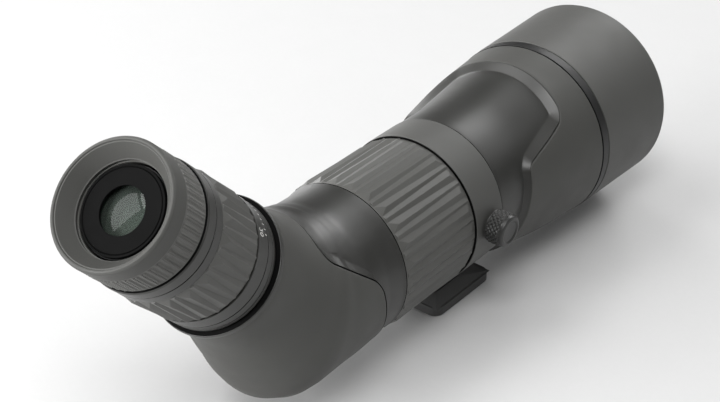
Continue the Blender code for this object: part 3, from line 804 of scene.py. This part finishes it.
# A grip's sleeve has V-shaped ridges A and C between slanting valleys B and D.  Angles are in
# degrees from ridge A.  B and D give each valley's angle at the rear and at the front.  A is low
# and narrow at the rear, and is cut off at the front in a steep facet; C is the other way round.
# The cuts are the lengths of those facets at the rear and at the front.  A plain rim is left at
# either end.
Grip = namedtuple("Grip", "units phase ridge_c valley_b valley_d cuts rim depth")
FOCUS_GRIP = Grip(units=25, phase=37.2, ridge_c=7.7, valley_b=(2.7, 4.7), valley_d=(11.5, 9.5),
                  cuts=(3.9, 2.6), rim=0.7, depth=1.0)
ZOOM_GRIP = Grip(units=20, phase=54.0, ridge_c=9.0, valley_b=(3.7, 7.0), valley_d=(15.4, 13.0),
                 cuts=(1.6, 4.4), rim=0.5, depth=1.1)
LOW = 0.56                  # height of a ridge at its narrow end, against its wide end


def grip_unit(axis, grip, span, turn):
    """Rings of four points at the rim's edges, the low ends of the ridges and their apexes."""
    rear, front, inner, tip = span
    valley = tip - grip.depth
    low = valley + grip.depth * LOW
    (b_rear, b_front), (d_rear, d_front), c = grip.valley_b, grip.valley_d, grip.ridge_c
    a_front = (d_front - 360 / grip.units + b_front) / 2
    rear_foot, front_foot = rear + grip.rim, front - grip.rim

    def place(station, radius, degrees):
        return axis.point(station, radius, math.radians(turn + degrees))

    def ring(station, radius, angles):
        return [place(station, radius, angle) for angle in angles]

    at_rear = (0.0, b_rear, c, d_rear)
    at_front = (a_front, b_front, c, d_front)
    return {
        "rear": ring(rear, valley, at_rear),
        "rear_in": ring(rear, inner, at_rear),
        "rear_foot": ring(rear_foot, valley, at_rear),
        "front": ring(front, valley, at_front),
        "front_in": ring(front, inner, at_front),
        "front_foot": ring(front_foot, valley, at_front),
        "tips": [place(rear_foot, low, 0.0), place(front_foot - grip.cuts[1], tip, 0.0),
                 place(rear_foot + grip.cuts[0], tip, c), place(front_foot, low, c)],
    }


def bridge(one, other, after):
    """Quads from one ring of four to another, on to the next unit's first corners."""
    pairs = [*zip(one, other), after]
    return [(p, r, s, q) for (p, q), (r, s) in zip(pairs, pairs[1:])]


def grip_faces(unit, before, after):
    """The corners of one unit's faces, with the units on either side."""
    a, b, c, d = unit["rear_foot"]
    fa, fb, fc, fd = unit["front_foot"]
    low_a, apex_a, apex_c, low_c = unit["tips"]
    last, last_front = before["rear_foot"][3], before["front_foot"][3]
    faces = [
        (low_a, b, fb, apex_a), (last, low_a, apex_a, last_front), (last_front, apex_a, fa),
        (apex_a, fb, fa), (last, a, low_a), (a, b, low_a),
        (b, apex_c, low_c, fb), (apex_c, d, fd, low_c), (b, c, apex_c),
        (c, d, apex_c), (fb, low_c, fc), (low_c, fd, fc),
    ]
    bands = (("rear_foot", "rear"), ("rear", "rear_in"), ("front_foot", "front"),
             ("front", "front_in"), ("rear_in", "front_in"))
    for one, other in bands:
        faces += bridge(unit[one], unit[other], (after[one][0], after[other][0]))
    return faces


def make_grip(node, axis, grip, body):
    shape = bmesh.new()
    units = []
    for k in range(grip.units):
        rings = grip_unit(axis, grip, axis.span(node), grip.phase + k * 360 / grip.units)
        units.append({name: [shape.verts.new(point) for point in ring]
                      for name, ring in rings.items()})
    for k, unit in enumerate(units):
        for corners in grip_faces(unit, units[k - 1], units[(k + 1) % grip.units]):
            shape.faces.new(corners)
    mesh = mesh_of(node + "_fine", shape)
    obj = stand_in(node, mesh, "rubber_grip", body)
    # Painted shade on the grip's flat ends, to darken the seams beside it.
    darken_ends(obj, axis, node)
    soften(obj, 0.1, 12)
    mesh.shade_smooth()
    weigh_normals(obj)


# Eyepiece

def make_flange():
    """The collar at the end of the elbow, with painted shade in black in the recess before the
    index ring.
    """
    rear, front, inner, lip = EYE.span("eyepiece_flange")
    _, _, _, ring = EYE.span("index_ring")
    base, neck, spigot = 21.5, 23.6, 19.7
    step, gap, seat, shelf = 48.1, 50.4, 51.5, 53.0
    profile = [(rear, inner), (rear, base), (step, base), (step, lip, 0.3), (gap, lip, 0.5),
               (gap, neck), (seat, neck), (seat, ring, 0.2), (shelf, ring, 0.15),
               (shelf, spigot), (front, spigot), (front, inner)]
    flange = turned("eyepiece_flange", EYE, profile, "painted_metal", "scope_body")
    # Painted shade: the flange's faces in the recess take the black finish.
    flange.data.materials.append(LOOKS["inner_black"])
    for face in flange.data.polygons:
        station, radius = EYE.measure(face.center)
        if gap - 0.1 < station < seat + 0.1 and radius < lip - 0.4:
            face.material_index = 1


def make_zoom_rings():
    """The index ring, the ring that ends the zoom's travel, and the core of the zoom ring."""
    plain_ring("index_ring", EYE, "painted_metal", "scope_body", 0.3, 0.15)

    rear, front, inner, outer = EYE.span("zoom_stop_ring")
    profile = [(rear, inner), (rear, outer, 0.2), (front - 0.5, outer, 0.5),
               (front, outer - 0.4, 0.2), (front, inner)]
    ring = turned("zoom_stop_ring", EYE, profile, "painted_metal", "scope_body")
    # Painted shade on the stop ring's flat ends, to darken the seams beside it.
    darken_ends(ring, EYE, "zoom_stop_ring")

    rear, front, inner, outer = EYE.span("zoom_ring")
    grip_rear, grip_front, _, _ = EYE.span("zoom_grip")
    seat_rear, seat_front = grip_rear - 0.3, grip_front + 0.3
    core, band, sleeve, sleeve_end = 23.4, 24.3, 19.6, 83.3
    profile = [(rear, inner), (rear, outer, 0.2), (seat_rear, outer, 0.2), (seat_rear, core),
               (seat_front, core), (seat_front, band, 0.2), (front, band, 0.2), (front, sleeve),
               (sleeve_end, sleeve), (sleeve_end, inner)]
    ring = turned("zoom_ring", EYE, profile, "painted_metal", "zoom_ring")
    # Painted shade on the zoom ring's flat ends, to darken the seams beside it.
    darken_ends(ring, EYE, "zoom_ring")


KNURL_GROUPS = 48
GROUP_SHAPE = (0.0, 0.1, 0.8, 1.0, 0.4, 1.0, 0.8, 0.1)      # a groove, then two rows of dashes
SECOND_ROW = 5              # column where the second row starts
DASHES = 11
DASH_STEPS = 6
KNURL_HEIGHT = 0.65


def knurl_rows(axis, start, end, steps, columns, radius_at):
    """Rings whose radius depends on the row and the column."""
    rows = []
    for k in range(steps + 1):
        station = start + (end - start) * k / steps
        rows.append([axis.point(station, radius_at(k, i), math.tau * i / columns)
                     for i in range(columns)])
    return rows


def dash_height(k, column):
    """Height of the eyecup's dashes in one of the mesh's rows and columns."""
    steps = DASHES * DASH_STEPS
    fade = min(1.0, k / 2, (steps - k) / 2)
    step = column % len(GROUP_SHAPE)
    stagger = 0.5 if step >= SECOND_ROW else 0.0
    dash = 0.5 + 0.5 * math.cos(math.tau * (k / steps * DASHES + stagger))
    return fade * KNURL_HEIGHT * GROUP_SHAPE[step] * (0.05 + 0.95 * dash ** 0.7)


def make_eyecup():
    """The shell's outside is a field of short raised dashes in rows along the axis."""
    rear, front, bore, outer = EYE.span("eyecup_sleeve")
    shoulder, skirt = 99.0, 19.2
    columns = KNURL_GROUPS * len(GROUP_SHAPE)
    before = [(rear, bore), (rear, skirt), (shoulder, skirt), (shoulder, outer - 0.45)]
    rows = [EYE.ring(s, r, columns) for s, r in before]
    rows += knurl_rows(EYE, shoulder + 0.6, front - 0.5, DASHES * DASH_STEPS, columns,
                       lambda k, i: outer - KNURL_HEIGHT + dash_height(k, i))
    rows += [EYE.ring(front, r, columns) for r in (outer - 0.6, bore)]
    mesh = mesh_from_rows("eyecup_sleeve_fine", rows, True, 60)
    stand_in("eyecup_sleeve", mesh, "eyecup_shell", "eyecup")

    rear, front, inner, outer = EYE.span("eyecup_rubber")
    profile = [(rear, 17.4), (rear, outer, 0.4), (front - 1.0, outer - 0.1, 1.2),
               (front, outer - 0.9, 0.6), (front - 0.25, outer - 1.6, 0.5),
               (front - 0.7, outer - 1.8), (front - 0.6, outer - 2.2, 0.3),
               (rear + 1.6, inner + 0.3, 1.2), (rear + 1.4, inner)]
    turned("eyecup_rubber", EYE, profile, "eyecup_rubber", "eyecup", LARGE_ROUND)


def make_eye_lens():
    rear, front, inner, outer = EYE.span("eye_lens_cap")
    profile = [(rear, inner + 0.4), (rear, outer), (front, outer, 0.25), (front, outer - 0.7),
               (front - 0.35, outer - 1.0), (front, outer - 1.3), (front, inner, 0.2)]
    turned("eye_lens_cap", EYE, profile, "inner_black", "scope_body")
    make_lens("eye_lens_outer", EYE, 0.7, 1.2)


# Zoom scale

MAGNIFICATIONS = ((20, 48), (30, 8), (40, -27), (50, -57), (60, -82))   # value, angle in degrees
MINOR_TICKS = (43, 38, 33, 28, 23, 18, 13, 2, -4, -10, -16, -21)
NUMBER_HEIGHT = 2.4
NUMBER_PLACE, TICK_PLACE = 4.2, 1.1     # distances from the rear edge of the zoom ring
TICK = (0.35, 1.2)                      # width and length
INDEX_TICK = (0.5, 2.2)
PAINT = 0.05                # thickness of the scale's paint
SUNK = 0.02                 # how far the paint reaches into the metal


def paint_on(name, mesh, station, angle, radius, body):
    """Thicken a flat shape and wrap it round the eyepiece; its x runs along the circle."""
    shape = bmesh.new()
    shape.from_mesh(mesh)
    bpy.data.meshes.remove(mesh)
    made = bmesh.ops.extrude_face_region(shape, geom=shape.faces[:])
    for vert in [v for v in made["geom"] if isinstance(v, bmesh.types.BMVert)]:
        vert.co.z = PAINT
    for vert in shape.verts:
        x, y, z = vert.co
        vert.co = EYE.point(station + y, radius + z - SUNK, angle + x / radius)
    mesh = mesh_of(name, shape)
    mesh.materials.append(LOOKS["scale_paint"])
    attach(new_object(name, mesh), body)


def number_mesh(text, height):
    """A number in Blender's own font as a flat mesh, centred on its middle."""
    curve = bpy.data.curves.new("number", "FONT")
    curve.body = text
    curve.size = height / 0.7
    curve.align_x = "CENTER"
    curve.align_y = "CENTER"
    curve.resolution_u = 3
    source = new_object("number", curve)
    mesh = evaluated_mesh(source)
    bpy.data.objects.remove(source)
    return mesh


def tick_mesh(width, length):
    shape = bmesh.new()
    bmesh.ops.create_grid(shape, x_segments=2, y_segments=1, size=0.5)
    bmesh.ops.scale(shape, vec=(width, length, 1), verts=shape.verts)
    return mesh_of("tick", shape)


def make_scale():
    rear, _, _, radius = EYE.span("zoom_ring")
    for value, degrees in MAGNIFICATIONS:
        paint_on(f"scale_number_{value}", number_mesh(str(value), NUMBER_HEIGHT),
                 rear + NUMBER_PLACE, math.radians(degrees), radius, "zoom_ring")
    ticks = [*[degrees for _, degrees in MAGNIFICATIONS], *MINOR_TICKS]
    for k, degrees in enumerate(ticks):
        paint_on(f"scale_tick_{k}", tick_mesh(*TICK), rear + TICK_PLACE, math.radians(degrees),
                 radius, "zoom_ring")
    rear, front, _, radius = EYE.span("index_ring")
    paint_on("index_mark", tick_mesh(*INDEX_TICK), (rear + front) / 2, 0.0, radius, "scope_body")


# Foot and lock

FOOT_LIP = 4.3              # height of the dovetail's lip
FOOT_CORNER = 4.5           # radius of its corners, seen from above
FOOT_LEVELS = ((0.0, 0.45), (0.15, 0.15), (0.5, 0.0), (FOOT_LIP - 0.6, 0.0),
               (FOOT_LIP - 0.2, 0.12), (FOOT_LIP, 0.5))     # heights and insets of its outline
FOOT_DRAW = 4.6             # how far the upper part is drawn in
FOOT_SUNK = 0.5             # how far it reaches down into the lip
FOOT_RISE = 5.1             # its height
SCREW_PLACES = (-11.0, -2.8)
INSERT_PLACE = 10.0


def make_foot():
    """A dovetail plate with a drawn-in upper part and a saddle under the collar."""
    _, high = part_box("mount_foot")
    half_x, half_y = high.x / MM, high.y / MM
    rear, front, _, collar_radius = MAIN.span("collar_ring")
    foot = foot_plate(half_x, half_y)
    join(foot, foot_upper(half_x, half_y, front), "UNION")
    join(foot, foot_saddle(rear, front), "UNION")
    cut(foot, "foot_barrel_cutter", MAIN, -40, 40, collar_radius + 0.3, LARGE_ROUND)
    for place in SCREW_PLACES:
        cut(foot, "foot_screw_cutter", upright(place), -1, 13.5, 3.0)
    cut(foot, "foot_insert_cutter", upright(INSERT_PLACE), -1, 5.3, 4.9)
    soften(foot, 0.3, 35)
    shade(foot.data, 30)
    weigh_normals(foot)


def upright(y):
    """An upright axis through the foot."""
    return Axis((0, y * MM, 0), (0, 0, 1), up=(0, 1, 0))


def foot_plate(half_x, half_y):
    """The dovetail's lip, with rounded corners and edges."""
    corners = [(-half_x, -half_y, FOOT_CORNER), (half_x, -half_y, FOOT_CORNER),
               (half_x, half_y, FOOT_CORNER), (-half_x, half_y, FOOT_CORNER)]
    outline = eased(corners, 8)
    rows = []
    for z, inset in FOOT_LEVELS:
        share_x, share_y = 1 - inset / half_x, 1 - inset / half_y
        rows.append([Vector((x * share_x, y * share_y, z)) * MM for x, y in outline])
    return stand_in("mount_foot", capped_mesh("mount_foot_fine", rows), "foot_black", "mount")


def foot_upper(half_x, half_y, front):
    """The foot's upper part: drawn in at the sides and rear, and sloping up from the front."""
    foot = FOOT_LIP - FOOT_SUNK
    top = foot + FOOT_RISE

    def corner(x, y, z):
        inset = FOOT_DRAW if z > 0 else 0.4
        face = front - 0.5 if z > 0 else half_y - 0.4
        return (math.copysign(half_x - inset, x), face if y > 0 else inset - half_y,
                top if z > 0 else foot)

    return box_cutter("foot_upper_cutter", corner)


def foot_saddle(rear, front):
    def corner(x, y, z):
        return math.copysign(13, x), rear if y < 0 else front, FOOT_LIP if z < 0 else 16.5

    return box_cutter("foot_saddle_cutter", corner)


def box_cutter(name, corner):
    """A helper box; corner turns a cube's corners into places in millimetres."""
    shape = bmesh.new()
    bmesh.ops.create_cube(shape, size=1.0)
    for vert in shape.verts:
        vert.co = Vector(corner(*vert.co)) * MM
    return new_object(name, mesh_of(name, shape))


def cut(obj, name, axis, start, end, radius, columns=BORE_ROUND):
    """Take a cylinder out of an object."""
    rows = [axis.ring(station, radius, columns) for station in (start, end)]
    join(obj, new_object(name, capped_mesh(name, rows)), "DIFFERENCE")


def join(obj, other, operation):
    """Apply a boolean at once and drop the helper."""
    modifier = obj.modifiers.new("cut", "BOOLEAN")
    modifier.operation = operation
    modifier.object = other
    made = evaluated_mesh(obj)
    obj.modifiers.remove(modifier)
    shape = bmesh.new()
    shape.from_mesh(made)
    shape.to_mesh(obj.data)
    shape.free()
    bpy.data.meshes.remove(made)
    bpy.data.objects.remove(other)


KNOB_COLUMNS = 176
KNOB_STEPS = 48             # rows of the knob's diamond knurl
KNOB_KNURL = 0.62           # its height
DIAMONDS_ROUND = 22
DIAMONDS_ALONG = 3
KNOB_NECK = 4.5             # radius of the knob's foot
STUD_BORE = 2.7             # radius of the bore for its screw


def make_lock(collar):
    """The knurled knob, and the bores for its screw and its shoe in the collar."""
    turn = JOINTS["lock_knob_turn"]
    _, y, z = turn["pos_m"]
    lock = Axis((0, y, z), turn["axis"], across=(0, 1, 0))
    cut(collar, "lock_pocket_cutter", lock, 20, 36, 2.8)
    cut(collar, "lock_shoe_cutter", lock, 20, 31.3, 4.4)

    rear, face, _, radius = lock.span("lock_knob")
    knurl_start, knurl_end = rear + 1.1, face - 1.9
    cap = [(knurl_end + 0.3, radius - 0.35, 0.2), (face - 0.3, radius - 0.6, 0.8),
           (face, radius - 1.9, 0.4), (face - 0.25, radius - 2.4, 0.3),
           (face - 0.55, radius - 2.7, 0.2), (face - 0.55, 0)]
    before = [(face - 5.2, 0), (face - 5.2, STUD_BORE), (rear, STUD_BORE),
              (rear, KNOB_NECK), (rear + 0.8, KNOB_NECK), (rear + 0.8, radius - 0.5)]
    rows = [lock.ring(s, r, KNOB_COLUMNS) for s, r in before]
    rows += knurl_rows(lock, knurl_start, knurl_end, KNOB_STEPS, KNOB_COLUMNS,
                       lambda k, i: radius - KNOB_KNURL + diamond_height(k, i))
    rows += [lock.ring(s, r, KNOB_COLUMNS) for s, r in eased(cap)]
    mesh = mesh_from_rows("lock_knob_fine", rows, False, 60)
    stand_in("lock_knob", mesh, "knob", "lock_knob")


def diamond_height(k, column):
    """Height of the knob's diamond knurl, which fades out at both ends."""
    fade = min(1.0, k / 3, (KNOB_STEPS - k) / 3)
    lean = math.pi * DIAMONDS_ALONG * k / KNOB_STEPS
    wave = math.pi * DIAMONDS_ROUND * column / KNOB_COLUMNS
    weave = math.cos(wave + lean) * math.cos(wave - lean)
    return fade * KNOB_KNURL * abs(weave) ** 0.7


# Stage

FLOOR_RADIUS = 1800.0
WALL = 1500.0               # the floor sweeps up into a wall this high
WALL_STEPS = 16


def make_stage():
    """A round floor that curves up into a wall all round, as in a studio cove."""
    profile = [(0.0, 1.0), (0.0, 400.0), (0.0, FLOOR_RADIUS)]
    for k in range(1, WALL_STEPS + 1):
        turn = math.pi / 2 * k / WALL_STEPS
        profile.append((WALL * (1 - math.cos(turn)), FLOOR_RADIUS + WALL * math.sin(turn)))
    up = Axis((0, 0, CAD_BOX[0].z - 0.5 * MM), (0, 0, 1), up=(0, 1, 0))
    rows = [up.ring(height, radius, PLAIN_ROUND) for height, radius in profile]
    mesh = mesh_from_rows("floor", rows, False)
    mesh.flip_normals()
    stage = new_object("floor", mesh)
    mesh.materials.append(LOOKS["floor"])


TOWARDS_CAMERA = Vector((0.594, -0.8046, 0)).normalized()
CAMERA_RIGHT = Vector((0.7909, 0.6109, 0)).normalized()
# softbox: bearing from the camera's side round to its right, elevation (degrees), watts
SOFTBOXES = (
    ("left_front_low", -60, 10, 14.5),
    ("left_back_low", -150, 10, 6.0),
    ("left_middle", -90, 32, 2.6),
    ("right_middle", 60, 32, 1.0),
    ("right_back", 120, 32, 1.2),
    ("back_right", 150, 32, 4.7),
    ("left_high", -90, 58, 4.9),
    ("front_high", 0, 58, 7.6),
    ("back_high", -135, 58, 0.6),
    ("top", 0, 88, 1.8),
)
SOFTBOX_SIZE = 0.5
SOFTBOX_DISTANCE = 1.15
WORLD_LIGHT = 0.01
MIDDLE = Vector((0, -0.04, 0.06))       # what every softbox looks at


def add_light(name, azimuth, elevation, power):
    light = bpy.data.lights.new(name, "AREA")
    light.size = SOFTBOX_SIZE
    light.energy = power
    azimuth, elevation = math.radians(azimuth), math.radians(elevation)
    level = TOWARDS_CAMERA * math.cos(azimuth) + CAMERA_RIGHT * math.sin(azimuth)
    way = level * math.cos(elevation) + Vector((0, 0, 1)) * math.sin(elevation)
    obj = new_object(name, light)
    obj.location = MIDDLE + way * SOFTBOX_DISTANCE
    obj.rotation_euler = way.to_track_quat("Z", "Y").to_euler()


def make_lights():
    for name, azimuth, elevation, power in SOFTBOXES:
        add_light(name, azimuth, elevation, power)
    world = bpy.data.worlds.new("studio")
    bpy.context.scene.world = world
    world.use_nodes = True
    background = world.node_tree.nodes["Background"]
    background.inputs["Color"].default_value = (1.0, 1.0, 1.0, 1)
    background.inputs["Strength"].default_value = WORLD_LIGHT


CAMERA_LENS = 86.17
CAMERA_PLACE = (0.3380, -0.5097, 0.4253)
CAMERA_BACK = (0.5021, -0.6803, 0.5339)
CAMERA_UP = (-0.3497, 0.4049, 0.8448)


def make_camera():
    camera = bpy.data.cameras.new("camera")
    camera.lens = CAMERA_LENS
    camera.sensor_width = 36.0
    camera.clip_start = 0.01
    obj = new_object("camera", camera)
    obj.location = CAMERA_PLACE
    back = Vector(CAMERA_BACK).normalized()
    right = Vector(CAMERA_UP).cross(back).normalized()
    up = back.cross(right)
    obj.rotation_euler = Matrix((right, up, back)).transposed().to_euler()
    bpy.context.scene.camera = obj
    bpy.context.scene.view_settings.view_transform = "Standard"


make_camera()
make_stage()
make_lights()
dress_frame()
make_front()
make_rear()
COLLAR = make_barrel_rings()
make_objective()
make_grip("focus_grip", MAIN, FOCUS_GRIP, "focus_ring")
make_grip("zoom_grip", EYE, ZOOM_GRIP, "zoom_ring")
make_flange()
make_zoom_rings()
make_eyecup()
make_eye_lens()
make_scale()
make_foot()
make_lock(COLLAR)
